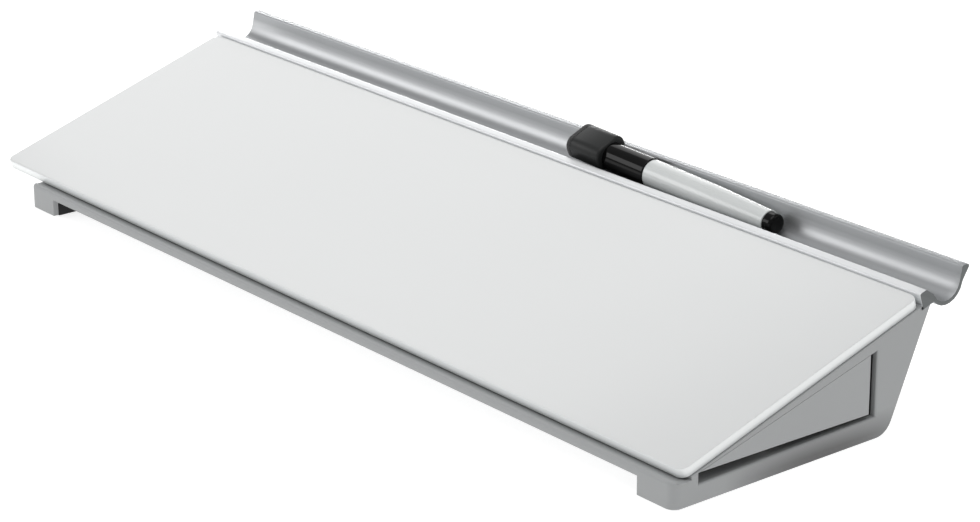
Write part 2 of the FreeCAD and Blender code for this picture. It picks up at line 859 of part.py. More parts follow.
def rest_height(radius):
    """Height of the axis of a round bar that lies in the trough with a small clearance."""
    reach = radius + marker_clearance
    if reach <= trough_radius:
        return trough_centre[1] - trough_radius + reach
    spread = (math.cos(FRONT_LEAN) + math.cos(BACK_LEAN)) / math.sin(FRONT_LEAN + BACK_LEAN)
    return trough_centre[1] + (reach - trough_radius) * spread


def head_rest_height():
    """Height of the axis where the head's lower front corner lies on the trough's shoulder."""
    side = block_round - block_width / 2
    low = block_lift - block_height / 2 + block_round
    roll = math.radians(block_roll)
    shift = side * math.cos(roll) - low * math.sin(roll)
    lift = side * math.sin(roll) + low * math.cos(roll)
    reach = block_round + marker_clearance
    across = trough_centre[0] + shift - trough_shoulder[0]
    return trough_shoulder[1] - lift + math.sqrt(max(reach ** 2 - across ** 2, 0))


tail_height = rest_height(barrel_tail_radius)
marker_slope = math.atan2(head_rest_height() - tail_height, barrel_length - head_stop)
marker_height = tail_height + barrel_length * math.tan(marker_slope)


def lay(shape, roll):
    """Lays a marker piece in the trough, turned about the marker's axis by roll."""
    placed = shape.copy()
    origin = FreeCAD.Vector(0, 0, 0)
    placed.rotate(origin, FreeCAD.Vector(1, 0, 0), roll)
    placed.rotate(origin, FreeCAD.Vector(0, 1, 0), math.degrees(marker_slope))
    placed.translate(FreeCAD.Vector(marker_place, trough_centre[0] + front_y, marker_height))
    return placed


# All sub-parts, written one file each

os.makedirs("parts", exist_ok=True)
for piece in (glass_panel, white_film, steel_sheet, foam_tape_strips, base_shell, bottom_cover, cover_screws,
              pen_tray, tray_screws, drawer_box, drawer_front, drawer_front_screws, drawer_stop):
    save(piece(), piece.__name__)
for side, span in zip(("left", "right"), foot_spans):
    for end, start in zip(("front", "rear"), foot_starts):
        save(rubber_foot(span, start), "rubber_foot_" + end + "_" + side)
save(drawer_runner(drawer_front_wall + runner_inset), "drawer_runner_front")
save(drawer_runner(drawer_back - runner_inset - runner_width), "drawer_runner_rear")
for piece in (marker_barrel, marker_end_plug, marker_nib_holder, marker_nib, marker_filler,
              marker_cap, cap_liner, eraser_block, eraser_felt, cap_magnet):
    save(lay(piece(), block_roll), piece.__name__)
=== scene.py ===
import bmesh
import bpy
import json
import math
import numpy as np
from mathutils import Matrix, Vector


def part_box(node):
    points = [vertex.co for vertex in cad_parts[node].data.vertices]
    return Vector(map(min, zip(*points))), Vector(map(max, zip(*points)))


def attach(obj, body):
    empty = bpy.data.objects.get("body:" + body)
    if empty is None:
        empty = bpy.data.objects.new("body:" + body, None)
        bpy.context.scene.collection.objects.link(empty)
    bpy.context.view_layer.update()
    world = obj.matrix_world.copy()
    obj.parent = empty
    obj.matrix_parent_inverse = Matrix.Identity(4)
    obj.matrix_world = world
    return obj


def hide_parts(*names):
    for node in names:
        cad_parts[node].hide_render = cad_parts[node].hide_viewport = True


# Desk whiteboard easel: a white glass board on a grey wedge base with a drawer in its
# right end, an aluminium pen tray behind the board and a dry-wipe marker in the tray.
# Metres. +X runs to the board's right end, +Y to the back and +Z up from the desk.
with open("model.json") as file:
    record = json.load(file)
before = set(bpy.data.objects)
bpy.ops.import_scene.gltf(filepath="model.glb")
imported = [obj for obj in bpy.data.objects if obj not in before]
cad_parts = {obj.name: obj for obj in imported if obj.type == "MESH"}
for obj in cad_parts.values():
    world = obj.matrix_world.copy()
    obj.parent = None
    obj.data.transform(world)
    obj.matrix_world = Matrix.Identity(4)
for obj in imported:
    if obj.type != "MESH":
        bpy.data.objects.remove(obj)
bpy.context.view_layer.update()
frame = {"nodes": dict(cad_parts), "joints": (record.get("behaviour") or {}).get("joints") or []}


# Writing board
# A sheet of toughened glass, ground and polished round its edge, with a white film bonded
# to its back. It lies on the base at a slope and overhangs it at the left end.

board_thickness = 0.004
board_corner = 0.004
board_arris = 0.0004
board_back_arris = 0.0001
board_tilt = math.radians(17.3)
weld_distance = 1e-7
sharp_angle = math.radians(35)
glass_low, glass_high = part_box("glass_panel")
board_length = glass_high.x - glass_low.x
board_front = np.array([glass_low.y, glass_low.z + board_thickness * math.cos(board_tilt)])
board_depth = (glass_high.z - board_front[1]) / math.sin(board_tilt)


class Value:
    """A shader value. + - * and / with it, on either side, add the Math node."""

    def __init__(self, finish, socket):
        self.finish = finish
        self.socket = socket

    def calculate(self, operation, first, second):
        return self.finish.node("ShaderNodeMath", {"operation": operation}, {0: first, 1: second})

    def __add__(self, other):
        return self.calculate("ADD", self, other)

    def __sub__(self, other):
        return self.calculate("SUBTRACT", self, other)

    def __rsub__(self, other):
        return self.calculate("SUBTRACT", other, self)

    def __mul__(self, other):
        return self.calculate("MULTIPLY", self, other)

    def __truediv__(self, other):
        return self.calculate("DIVIDE", self, other)

    def __rtruediv__(self, other):
        return self.calculate("DIVIDE", other, self)

    __radd__ = __add__
    __rmul__ = __mul__


class Finish:
    """One procedural material: its fixed values, and one method that adds any other node."""

    def __init__(self, name, fixed):
        self.material = bpy.data.materials.new(name)
        self.material.use_nodes = True
        self.tree = self.material.node_tree
        self.shader = self.tree.nodes["Principled BSDF"]
        for socket, value in fixed.items():
            self.shader.inputs[socket].default_value = value
        self.place = self.node("ShaderNodeTexCoord", output="Object")

    def node(self, kind, settings=None, inputs=None, output=0):
        """Adds a node: its settings or a ramp's stops first, then its inputs' values or links."""
        added = self.tree.nodes.new(kind)
        for setting, value in (settings or {}).items():
            if setting == "stops":
                for element, (position, shade) in zip(added.color_ramp.elements, value):
                    element.position = position
                    element.color = (shade, shade, shade, 1)
            else:
                setattr(added, setting, value)
        for socket, value in (inputs or {}).items():
            if isinstance(value, Value):
                self.tree.links.new(value.socket, added.inputs[socket])
            else:
                added.inputs[socket].default_value = value
        return Value(self, added.outputs[output])

    def feed(self, **links):
        """Links values to the shader: Base_Color=value feeds its Base Color."""
        for name, value in links.items():
            self.tree.links.new(value.socket, self.shader.inputs[name.replace("_", " ")])

    def noise(self, size, detail=2, stretch=(1, 1, 1)):
        """Soft noise from 0 to 1 whose features are about size across, and longer along each
        axis by its stretch."""
        scale = [1 / (size * factor) for factor in stretch]
        place = self.node("ShaderNodeMapping", {}, {"Vector": self.place, "Scale": scale})
        return self.node("ShaderNodeTexNoise", {}, {"Vector": place, "Scale": 1, "Detail": detail})

    def ramp(self, value, low, high):
        """0 below low, 1 above high and straight between them."""
        return self.node("ShaderNodeValToRGB", {"stops": ((low, 0), (high, 1))}, {0: value})

    def blend(self, factor, first, second):
        """The first colour where factor is 0 and the second where it is 1. Inputs 6 and 7 and
        output 2 are the Mix node's colours."""
        first, second = [part if isinstance(part, Value) else (*part, 1)
                         for part in (first, second)]
        return self.node("ShaderNodeMix", {"data_type": "RGBA"},
                         {0: factor, 6: first, 7: second}, output=2)

    def bump(self, height, depth):
        """Normal of a surface whose height runs from 0 to depth as the value runs from 0 to 1."""
        return self.node("ShaderNodeBump", {}, {"Strength": 1, "Distance": depth, "Height": height})

    def facing(self):
        """The direction that the surface looks in."""
        return self.node("ShaderNodeTexCoord", output="Normal")

    def dot(self, vector, direction):
        """How far a vector reaches along a direction."""
        return self.node("ShaderNodeVectorMath", {"operation": "DOT_PRODUCT"},
                         {0: vector, 1: direction}, output="Value")


def polished_glass(normal, top):
    """White-backed glass: near mirror smooth, with faint wiping smears that only dull the gloss.
    level runs from 0 at the under face to 1 at the top face, where normal . place = top. Painted
    light shines from the ground edge by emission, though it is no lamp, and painted shade darkens
    the edge low down."""
    finish = Finish("polished_glass", {"IOR": 1.52, "Emission Strength": 1})
    smear = finish.noise(size=0.035, detail=3, stretch=(2.5, 0.6, 1))
    mottle = finish.noise(size=0.12, detail=1)
    white = finish.blend(mottle, (0.665, 0.675, 0.675), (0.685, 0.695, 0.695))
    level = (finish.dot(finish.place, normal) - top) / board_thickness + 1
    # Painted shade: the lower part of the edge is darker.
    painted_low_shade = 1 - finish.ramp(level, low=0.22, high=0.42)
    upright = finish.dot(finish.facing(), normal)
    edge = 1 - finish.ramp(upright * upright, low=0, high=0.6)
    # Painted light: the edge faces emit, though the glass is no lamp.
    painted_edge_light = edge * finish.ramp(level, low=0, high=0.7)
    finish.feed(Base_Color=finish.blend(painted_low_shade, white, (0.60, 0.62, 0.62)),
                Emission_Color=finish.blend(painted_edge_light, (0, 0, 0), (0.16, 0.17, 0.17)),
                Roughness=0.12 + 0.08 * smear)
    return finish.material


def rounded_slab(half_x, half_y, corner, insets, heights, steps=10):
    """Rings of a slab with rounded corners. Ring i is the outline drawn in by insets[i], at
    heights[i]; a point is its corner's centre plus (corner - inset) times (cos a, sin a).
    Each inset is under the corner's radius, so that no ring crosses itself."""
    quarter = np.linspace(0, math.pi / 2, steps + 1)
    angle = (np.arange(4)[:, None] * math.pi / 2 + quarter).ravel()
    side_x = np.repeat([1, -1, -1, 1], steps + 1)
    side_y = np.repeat([1, 1, -1, -1], steps + 1)
    reach = corner - np.asarray(insets)[:, None]
    x = side_x * (half_x - corner) + reach * np.cos(angle)
    y = side_y * (half_y - corner) + reach * np.sin(angle)
    z = np.broadcast_to(np.asarray(heights)[:, None], x.shape)
    return np.stack([x, y, z], axis=-1)


def edge_path(thickness, top_round, under_round, steps=4):
    """Insets and heights from just inside the top face's edge, over a quarter circle, down the
    side and over a second quarter circle to just inside the under face's edge."""
    turn = np.linspace(0, math.pi / 2, steps + 1)
    insets = np.concatenate([[2 * top_round], top_round * (1 - np.sin(turn)),
                             under_round * (1 - np.cos(turn)), [2 * under_round]])
    heights = np.concatenate([[0], top_round * (np.cos(turn) - 1),
                              under_round * (1 - np.sin(turn)) - thickness, [-thickness]])
    return insets, heights


def moved(points, axes, origin):
    """Points carried from local x, y, z to the three axes, given as rows, from an origin."""
    return points @ np.asarray(axes, float) + np.asarray(origin, float)


def in_scene(name, data):
    """A new object in the scene, at the origin."""
    made = bpy.data.objects.new(name, data)
    bpy.context.scene.collection.objects.link(made)
    return made


def skin(name, *stacks, closed=False):
    """Mesh over stacks of rings: each ring's points are joined to the next ring's by quads.
    The end rings get one face each, or with closed the last ring is joined to the first."""
    vertices, faces = [], []
    for rings in stacks:
        count, around = rings.shape[:2]
        start = sum(len(part) for part in vertices)
        index = start + np.arange(count * around).reshape(count, around)
        low = index if closed else index[:-1]
        high = np.roll(index, -1, axis=0) if closed else index[1:]
        quads = np.stack([low, np.roll(low, -1, axis=1), np.roll(high, -1, axis=1), high], axis=-1)
        faces += quads.reshape(-1, 4).tolist()
        if not closed:
            faces += [index[0].tolist(), index[-1].tolist()]
        vertices.append(rings.reshape(-1, 3))
    mesh = bpy.data.meshes.new(name)
    mesh.from_pydata(np.concatenate(vertices).tolist(), [], faces)
    tidy = bmesh.new()
    tidy.from_mesh(mesh)
    bmesh.ops.remove_doubles(tidy, verts=tidy.verts, dist=weld_distance)
    bmesh.ops.recalc_face_normals(tidy, faces=tidy.faces)
    tidy.to_mesh(mesh)
    tidy.free()
    mesh.shade_smooth()
    mesh.set_sharp_from_angle(angle=sharp_angle)
    return in_scene(name, mesh)


def fit(piece, body, slot, material, *nodes):
    """Gives a piece its material and its body, and hides the CAD nodes that it stands for. The slot
    argument is not used.
    """
    piece.data.materials.clear()
    piece.data.materials.append(material)
    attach(piece, body)
    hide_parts(*nodes)


def dress(node, material):
    """Gives a CAD node that is kept as it is its material."""
    for place in frame["nodes"][node].material_slots:
        place.material = material


board_axes = np.array([[1, 0, 0],
                       [0, math.cos(board_tilt), math.sin(board_tilt)],
                       [0, -math.sin(board_tilt), math.cos(board_tilt)]])


def on_board(along, above):
    """(y, z) at a distance up the board's slope and above its top face."""
    return board_front + along * board_axes[1, 1:] + above * board_axes[2, 1:]


board_middle = np.concatenate([[0], on_board(board_depth / 2, 0)])
board_edge = edge_path(board_thickness, board_arris, board_back_arris)
board_rings = rounded_slab(board_length / 2, board_depth / 2, board_corner, *board_edge)
fit(skin("writing_board", moved(board_rings, board_axes, board_middle)), "base", "toughened_glass",
    polished_glass(board_axes[2], board_axes[2] @ board_middle), "glass_panel")


# Film, steel sheet and foam tape
# The white film shows from below past the base. The steel sheet behind it lets magnets hold,
# and three strips of foam tape bond the sheet to the base; both are out of sight.

foam_cell = 0.0004


def white_film():
    """Smooth white film with a soft sheen and a faint ripple from its laying."""
    finish = Finish("white_film", {"Specular IOR Level": 0.4})
    ripple = finish.noise(size=0.03, detail=1)
    finish.feed(Base_Color=finish.blend(ripple, (0.78, 0.785, 0.79), (0.81, 0.815, 0.82)),
                Roughness=0.32 + 0.1 * ripple, Normal=finish.bump(ripple, depth=0.00004))
    return finish.material


def zinc_sheet():
    """Zinc-plated sheet steel with rolling lines along its length."""
    finish = Finish("zinc_sheet", {"Metallic": 1})
    lines = finish.noise(size=0.0006, detail=3, stretch=(60, 1, 1))
    finish.feed(Base_Color=finish.blend(lines, (0.48, 0.49, 0.50), (0.60, 0.61, 0.62)),
                Roughness=0.3 + 0.2 * lines, Normal=finish.bump(lines, depth=0.000006))
    return finish.material


def foam_tape():
    """Fine open foam: small cells darken the surface and dent it."""
    finish = Finish("foam_tape", {"Specular IOR Level": 0.2})
    cells = finish.node("ShaderNodeTexVoronoi", {}, {"Vector": finish.place, "Scale": 1 / foam_cell},
                        output="Distance")
    finish.feed(Base_Color=finish.blend(cells, (0.60, 0.60, 0.58), (0.76, 0.76, 0.74)),
                Roughness=0.9 - 0.1 * cells, Normal=finish.bump(cells, depth=0.0001))
    return finish.material


dress("white_film", white_film())
dress("steel_sheet", zinc_sheet())
dress("foam_tape_strips", foam_tape())


# Base shell
# One injection moulding in light grey plastic with a satin texture. Its edges are a little
# rounded, as a mould leaves them; the board lies in a frame on top and the drawer slides in it.

shell_edge = 0.0004
edge_steps = 3
triangle_weld = 1e-6
flat_angle = math.radians(0.3)
rolled_angle = math.radians(30)
base_shade = 0.33
base_tint = (0.975, 1.0, 1.01)
mottle_share = 0.03
# Painted shade low on the end walls: its darkest grey, the height where it fades out and its reach in Y
# from y = 0.
painted_shade_grey = 0.1
painted_shade_height = 0.0115
painted_shade_reach = 0.05


def satin_plastic(name, shade, roughness=0.42, painted_shade_share=0):
    """Spark-eroded moulded plastic: a fine grain in the surface, a slight flow mottle in its
    colour, and a gloss that varies a little over large areas. Given a share, painted shade
    darkens its end walls by that share low down, most at the middle of their depth."""
    finish = Finish(name, {"Specular IOR Level": 0.45})
    grain = finish.noise(size=0.00035, detail=2)
    flow = finish.noise(size=0.03, detail=3, stretch=(3, 1, 1))
    dark = [(1 - mottle_share) * shade * part for part in base_tint]
    light = [(1 + mottle_share) * shade * part for part in base_tint]
    colour = finish.blend(flow, dark, light)
    # Painted shade: the end walls are darker low down, most at the middle of their depth.
    if painted_shade_share:
        rise = finish.dot(finish.place, (0, 0, 1)) / painted_shade_height
        aside = finish.dot(finish.place, (0, 1, 0)) / painted_shade_reach
        along = finish.dot(finish.facing(), (1, 0, 0))
        low_down = (1 - finish.ramp(rise, low=0.25, high=1)) * along * along
        painted_light = low_down * (1 - finish.ramp(aside * aside, low=0, high=1))
        colour = finish.blend(painted_shade_share * painted_light, colour, (painted_shade_grey,) * 3)
    finish.feed(Base_Color=colour, Roughness=roughness - 0.04 + 0.08 * flow + 0.06 * grain,
                Normal=finish.bump(grain, depth=0.000012))
    return finish.material


def softened(node, name, edge):
    """A copy of a CAD node with its loose triangles merged, its flat faces made whole again
    and each sharp edge rolled over by a small bevel."""
    mesh = frame["nodes"][node].data.copy()
    mesh.name = name
    tidy = bmesh.new()
    tidy.from_mesh(mesh)
    bmesh.ops.remove_doubles(tidy, verts=tidy.verts, dist=triangle_weld)
    bmesh.ops.dissolve_limit(tidy, angle_limit=flat_angle, verts=tidy.verts, edges=tidy.edges)
    tidy.to_mesh(mesh)
    tidy.free()
    mesh.shade_smooth()
    mesh.set_sharp_from_angle(angle=rolled_angle)
    piece = in_scene(name, mesh)
    bevel = piece.modifiers.new("rolled_edge", "BEVEL")
    bevel.width = edge
    bevel.segments = edge_steps
    bevel.limit_method = "ANGLE"
    bevel.angle_limit = rolled_angle
    bevel.harden_normals = True
    return piece


# The base's end walls carry painted shade low down.
fit(softened("base_shell", "base_moulding", shell_edge), "base", "grey_plastic",
    satin_plastic("base_grey", base_shade, painted_shade_share=0.95), "base_shell")


# Bottom cover, runners and stop
# A flat moulded plate closes the base from below. On it lie two slippery nylon strips that
# the drawer slides on, and a post that the drawer's hook meets at the end of its travel.

plain_edge = 0.0003
plain_roughness = 0.5


def nylon():
    """Off-white nylon, waxy, with fine sliding marks along the drawer's travel."""
    finish = Finish("nylon", {"Subsurface Weight": 0.1, "Subsurface Scale": 0.001})
    marks = finish.noise(size=0.0004, detail=2, stretch=(40, 1, 1))
    finish.feed(Base_Color=finish.blend(marks, (0.70, 0.70, 0.66), (0.76, 0.76, 0.72)),
                Roughness=0.35 + 0.15 * marks, Normal=finish.bump(marks, depth=0.000006))
    return finish.material


fit(softened("bottom_cover", "bottom_plate", plain_edge), "base", "cover_plastic",
    satin_plastic("cover_grey", base_shade, plain_roughness), "bottom_cover")
slippery = nylon()
for strip in ("drawer_runner_front", "drawer_runner_rear"):
    piece = softened(strip, strip.replace("drawer_runner", "runner_strip"), plain_edge)
    fit(piece, "base", "nylon", slippery, strip)
fit(softened("drawer_stop", "stop_post", plain_edge), "base", "cover_plastic",
    satin_plastic("stop_grey", base_shade, plain_roughness), "drawer_stop")


# Screws
# Zinc-plated pan heads with a cross recess: six hold the cover, four come up through the deck
# into the pen tray, and two hold the drawer's front.

screw_round = 0.0004
ring_power = 0.9
dome_share = 0.3
point_share = 0.3
recess_arm_share = 0.62
recess_arm_fade_share = 0.08
recess_width_share = 0.2
recess_side_fade_share = 0.05
recess_depth_share = 0.6
recess_taper_share = 0.5
cover_head = {"head_radius": 0.0027, "head_height": 0.0015, "shank_radius": 0.00125}
drawer_head = {"head_radius": 0.002, "head_height": 0.0012, "shank_radius": 0.001}


def pan_head_screw(head_radius, head_height, shank_radius, length, around=96, across=20):
    """Rings of a screw that stands head up on z = 0. The top's height at the share s of the
    radius is head_height * (1 - dome_share * s^4), less a cross whose arms fade at their rims.
    Below it come the side, the under face and a shank that ends in a cone. The top's rings lie
    closer together near the rim."""
    angle = np.linspace(0, 2 * math.pi, around, endpoint=False)
    share = np.linspace(0, 1, across)[:, None] ** ring_power
    arm_x, arm_y = np.abs(share * np.cos(angle)), np.abs(share * np.sin(angle))

    def arm(far, near):
        along = np.clip((recess_arm_share - far) / recess_arm_fade_share, 0, 1)
        aside = np.clip((recess_width_share / 2 - near) / recess_side_fade_share, 0, 1)
        return along * aside

    cross = np.maximum(arm(arm_x, arm_y), arm(arm_y, arm_x))
    sink = recess_depth_share * (1 - recess_taper_share * share) * cross
    top = head_height * (1 - dome_share * share ** 4 - sink)
    radius = np.broadcast_to(share * (head_radius - screw_round), top.shape)
    side_radius = np.array([head_radius] * 2 + [shank_radius] * 2 + [shank_radius * point_share])
    side_height = np.array([head_height / 2, 0, 0, -length + 2 * shank_radius, -length])
    ones = np.ones(around)
    radius = np.concatenate([radius, side_radius[:, None] * ones])
    height = np.concatenate([top, side_height[:, None] * ones])
    return np.stack([radius * np.cos(angle), radius * np.sin(angle), height], axis=-1)


def zinc_plate():
    """Bright zinc on small steel parts, with soft blotches from the plating bath."""
    finish = Finish("zinc_plate", {"Metallic": 1})
    blotch = finish.noise(size=0.0008, detail=3)
    finish.feed(Base_Color=finish.blend(blotch, (0.55, 0.56, 0.58), (0.70, 0.71, 0.72)),
                Roughness=0.22 + 0.2 * blotch)
    return finish.material


def solid_boxes(node):
    """Lowest and highest corners of each separate solid in a CAD node, sorted along X to a
    tenth of a millimetre and then along Y."""
    solids = bmesh.new()
    solids.from_mesh(frame["nodes"][node].data)
    bmesh.ops.remove_doubles(solids, verts=solids.verts, dist=triangle_weld)
    left, boxes = set(solids.verts), []
    while left:
        reached = {left.pop()}
        rim = set(reached)
        while rim:
            rim = {edge.other_vert(v) for v in rim for edge in v.link_edges} - reached
            reached |= rim
        left -= reached
        points = np.array([v.co for v in reached])
        boxes.append((points.min(axis=0), points.max(axis=0)))
    solids.free()
    return sorted(boxes, key=lambda box: (round(box[0][0], 4), box[0][1]))


bright_zinc = zinc_plate()
cover_axes = np.array([[1, 0, 0], [0, -1, 0], [0, 0, -1]])
cover_screws = []
for low, high in solid_boxes("cover_screws"):
    seat = (*(low + high)[:2] / 2, low[2] + cover_head["head_height"])
    cover_screws.append(moved(pan_head_screw(**cover_head, length=high[2] - seat[2]), cover_axes, seat))
fit(skin("cover_screw_heads", *cover_screws), "base", "screw_steel", bright_zinc, "cover_screws")

tray_axes = np.array([board_axes[0], -board_axes[1], -board_axes[2]])
tray_screws = []
for low, high in solid_boxes("tray_screws"):
    rise = high[2] - low[2] - 2 * cover_head["head_radius"] * math.sin(board_tilt)
    length = rise / math.cos(board_tilt) - cover_head["head_height"]
    seat = (low + high) / 2 - board_axes[2] * (length - cover_head["head_height"]) / 2
    tray_screws.append(moved(pan_head_screw(**cover_head, length=length), tray_axes, seat))
fit(skin("tray_screw_heads", *tray_screws), "base", "screw_steel", bright_zinc, "tray_screws")

drawer_axes = np.array([[0, 1, 0], [0, 0, -1], [-1, 0, 0]])
drawer_screws = []
for low, high in solid_boxes("drawer_front_screws"):
    seat = (low[0] + drawer_head["head_height"], *(low + high)[1:] / 2)
    drawer_screws.append(moved(pan_head_screw(**drawer_head, length=high[0] - seat[0]), drawer_axes, seat))
fit(skin("drawer_screw_heads", *drawer_screws), "drawer", "screw_steel", bright_zinc,
    "drawer_front_screws")


# Rubber feet
# A soft black block sits in each leg and stands half a millimetre below it, with a peg on top
# that is pushed up into the leg. Moulded, so its edges are round and its skin is dull.

foot_corner = 0.0008
foot_under_round = 0.00035
foot_top_round = 0.0003
foot_height = 0.006
peg_radius = 0.0019


def black_rubber():
    """Dull rubber: fine pits in the skin and a greyer bloom in patches."""
    finish = Finish("black_rubber", {"Specular IOR Level": 0.3})
    pits = finish.noise(size=0.0003, detail=2)
    bloom = finish.noise(size=0.005, detail=3)
    finish.feed(Base_Color=finish.blend(bloom, (0.012, 0.012, 0.013), (0.03, 0.03, 0.031)),
                Roughness=0.7 + 0.15 * pits, Normal=finish.bump(pits, depth=0.00003))
    return finish.material


rubber = black_rubber()
for node in ("rubber_foot_front_left", "rubber_foot_front_right",
             "rubber_foot_rear_left", "rubber_foot_rear_right"):
    low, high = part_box(node)
    half_x, half_y = (high.x - low.x) / 2, (high.y - low.y) / 2
    insets, heights = edge_path(foot_height, foot_top_round, foot_under_round)
    foot_rings = rounded_slab(half_x, half_y, foot_corner, insets, heights + foot_height)
    peg_angle = np.arctan2(foot_rings[0, :, 1], foot_rings[0, :, 0])
    peg_ring = np.stack([peg_radius * np.cos(peg_angle), peg_radius * np.sin(peg_angle),
                         np.full(len(peg_angle), foot_height)], axis=-1)
    peg_top = peg_ring + (0, 0, high.z - foot_height)
    foot_rings = np.concatenate([[peg_top, peg_ring], foot_rings])
    centre = ((low.x + high.x) / 2, (low.y + high.y) / 2, 0)
    fit(skin(node.replace("rubber_foot", "foot"), foot_rings + centre), "base", "black_rubber",
        rubber, node)


# Drawer
# A wedge-shaped moulded box that runs on the nylon strips, and a front plate in the same grey,
# screwed to it from inside, that closes the mouth in the base's right end.

face_edge = 0.00015
face_shade = 0.34
face_roughness = 0.4

fit(softened("drawer_box", "drawer_tray", plain_edge), "drawer", "drawer_plastic",
    satin_plastic("drawer_inside_grey", base_shade, plain_roughness), "drawer_box")
fit(softened("drawer_front", "drawer_face", face_edge), "drawer", "drawer_plastic",
    satin_plastic("drawer_face_grey", face_shade, face_roughness), "drawer_front")


# Pen tray
# One length of extruded aluminium, satin anodised, that runs the whole length behind the
# board: a lip, a trough with a round bottom, and a back wall that flares to a flat top edge.

tray_wall = 0.0017
tray_gap = 0.00005
tray_lip_rise = 0.0013
tray_lip_width = 0.00355
tray_lip_round = 0.0012
tray_lip_front_round = 0.0007
trough_radius = 0.0072
trough_setback = 0.01395
trough_rise = 0.0024
trough_front_lean = math.radians(35)
trough_back_lean = math.radians(12)
shoulder_drop = 0.0029
shoulder_round = 0.0015
tray_top_round = 0.0009
tray_top_width = 0.0044
flare_drop = 0.0062
flare_round = 0.0032
web_reach = 0.0137
web_round = 0.0002
web_seat_depth = 0.0057
web_top_depth = 0.0042
web_stop_inset = 0.0036
base_overhang = 0.0276
cut_edge = 0.0001
cut_steps = 3
smallest_length = 1e-9
same_point = 1e-8
guard_share = 0.2
spare_share = 0.3
# Painted highlights: the fade of the lip's highlight, and the drop and half width of the highlight band
# inside the back wall.
lip_fade = 0.004
highlight_band_drop = 0.0018
highlight_band_half_width = 0.0034


def rounded(corners, closed=True, steps=8):
    """Points of an outline whose corners (u, v, radius) become arcs: an arc's centre lies at
    radius / sin(half angle) along the corner's bisector. A guard point before and after
    each arc keeps the flat stretches flat. A corner of radius 0 and the ends of an open
    outline stay as they are."""
    corners = np.asarray(corners, float)
    here, radius = corners[:, :2], np.maximum(corners[:, 2:], smallest_length)
    back = np.roll(here, 1, axis=0) - here
    on = np.roll(here, -1, axis=0) - here
    back_length = np.linalg.norm(back, axis=1, keepdims=True)
    on_length = np.linalg.norm(on, axis=1, keepdims=True)
    back, on = back / back_length, on / on_length
    half = np.arccos(np.clip((back * on).sum(axis=1, keepdims=True), -1, 1)) / 2
    reach = radius / np.tan(half)
    bisector = back + on
    bisector /= np.linalg.norm(bisector, axis=1, keepdims=True)
    centre = here + bisector * radius / np.sin(half)
    start = (here + back * reach - centre) / radius
    end = (here + on * reach - centre) / radius
    swing = math.pi - 2 * half
    share = np.linspace(0, 1, steps + 1)[None, :, None]
    swing, start, end = swing[:, :, None], start[:, None], end[:, None]
    arcs = (np.sin((1 - share) * swing) * start + np.sin(share * swing) * end) / np.sin(swing)
    arcs = centre[:, None] + radius[:, :, None] * arcs
    spare_back = back_length - reach - np.roll(reach, 1, axis=0)
    spare_on = on_length - reach - np.roll(reach, -1, axis=0)
    guard_back = reach + np.clip(spare_share * spare_back, 0, guard_share * radius)
    guard_on = reach + np.clip(spare_share * spare_on, 0, guard_share * radius)
    before, after = (here + back * guard_back)[:, None], (here + on * guard_on)[:, None]
    points = np.concatenate([before, arcs, after], axis=1)
    if closed:
        points = points.reshape(-1, 2)
        ahead = np.roll(points, -1, axis=0) - points
        return points[np.linalg.norm(ahead, axis=1) > same_point]
    return np.concatenate([here[:1], points[1:-1].reshape(-1, 2), here[-1:]])


def drawn_in(loop, distance):
    """A closed outline with each point moved inwards, square to the outline, by a distance."""
    ahead = np.roll(loop, -1, axis=0) - loop
    ahead /= np.maximum(np.linalg.norm(ahead, axis=1, keepdims=True), smallest_length)
    tangent = ahead + np.roll(ahead, 1, axis=0)
    tangent /= np.maximum(np.linalg.norm(tangent, axis=1, keepdims=True), smallest_length)
    y, z = loop[:, 0], loop[:, 1]
    area = (y * np.roll(z, -1) - np.roll(y, -1) * z).sum()
    inwards = np.stack([-tangent[:, 1], tangent[:, 0]], axis=-1) * np.sign(area)
    return loop + inwards * distance


def tray_finish():
    """Satin anodised aluminium: drawing lines along X in its colour, gloss and surface. A painted
    highlight makes the lip in front of lip_back bright, a painted highlight band runs along the
    inside of the back wall, and painted shade darkens the cut ends, where the surface looks
    along X; the ends are also duller."""
    finish = Finish("anodised_aluminium", {"Metallic": 1})
    lines = finish.noise(size=0.0005, detail=3, stretch=(120, 1, 1))
    cloud = finish.noise(size=0.02, detail=2, stretch=(4, 1, 1))
    dull = finish.blend(cloud, (0.38, 0.39, 0.40), (0.42, 0.43, 0.44))
    # Painted highlight: the paler colour of the band inside the back wall.
    painted_light = finish.blend(cloud, (0.54, 0.55, 0.56), (0.58, 0.59, 0.60))
    aside = (finish.dot(finish.place, (0, 0, 1)) - highlight_band_level) / highlight_band_half_width
    forwards = finish.dot(finish.facing(), (0, -1, 0))
    band = (1 - finish.ramp(aside * aside, low=0.1, high=1)) * finish.ramp(forwards, low=0.2, high=0.6)
    behind = (finish.dot(finish.place, (0, 1, 0)) - lip_back) / lip_fade
    # Painted highlight: the lip's bright colour.
    drawn = finish.blend(finish.ramp(behind, low=0, high=1), (0.74, 0.75, 0.76),
                         finish.blend(band, dull, painted_light))
    # Painted shade: the cut ends are darker, and they are also rougher.
    along = finish.dot(finish.facing(), (1, 0, 0))
    shaded_dull_ends = finish.ramp(along * along, low=0.5, high=0.9)
    finish.feed(Base_Color=finish.blend(shaded_dull_ends, drawn, (0.19, 0.20, 0.20)),
                Roughness=0.42 + 0.08 * lines + 0.05 * cloud + 0.2 * shaded_dull_ends,
                Normal=finish.bump(lines, depth=0.000008))
    return finish.material


tray_low, tray_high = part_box("pen_tray")
trough_centre = on_board(board_depth, 0) + (trough_setback, trough_rise)
trough_top = tray_high.z


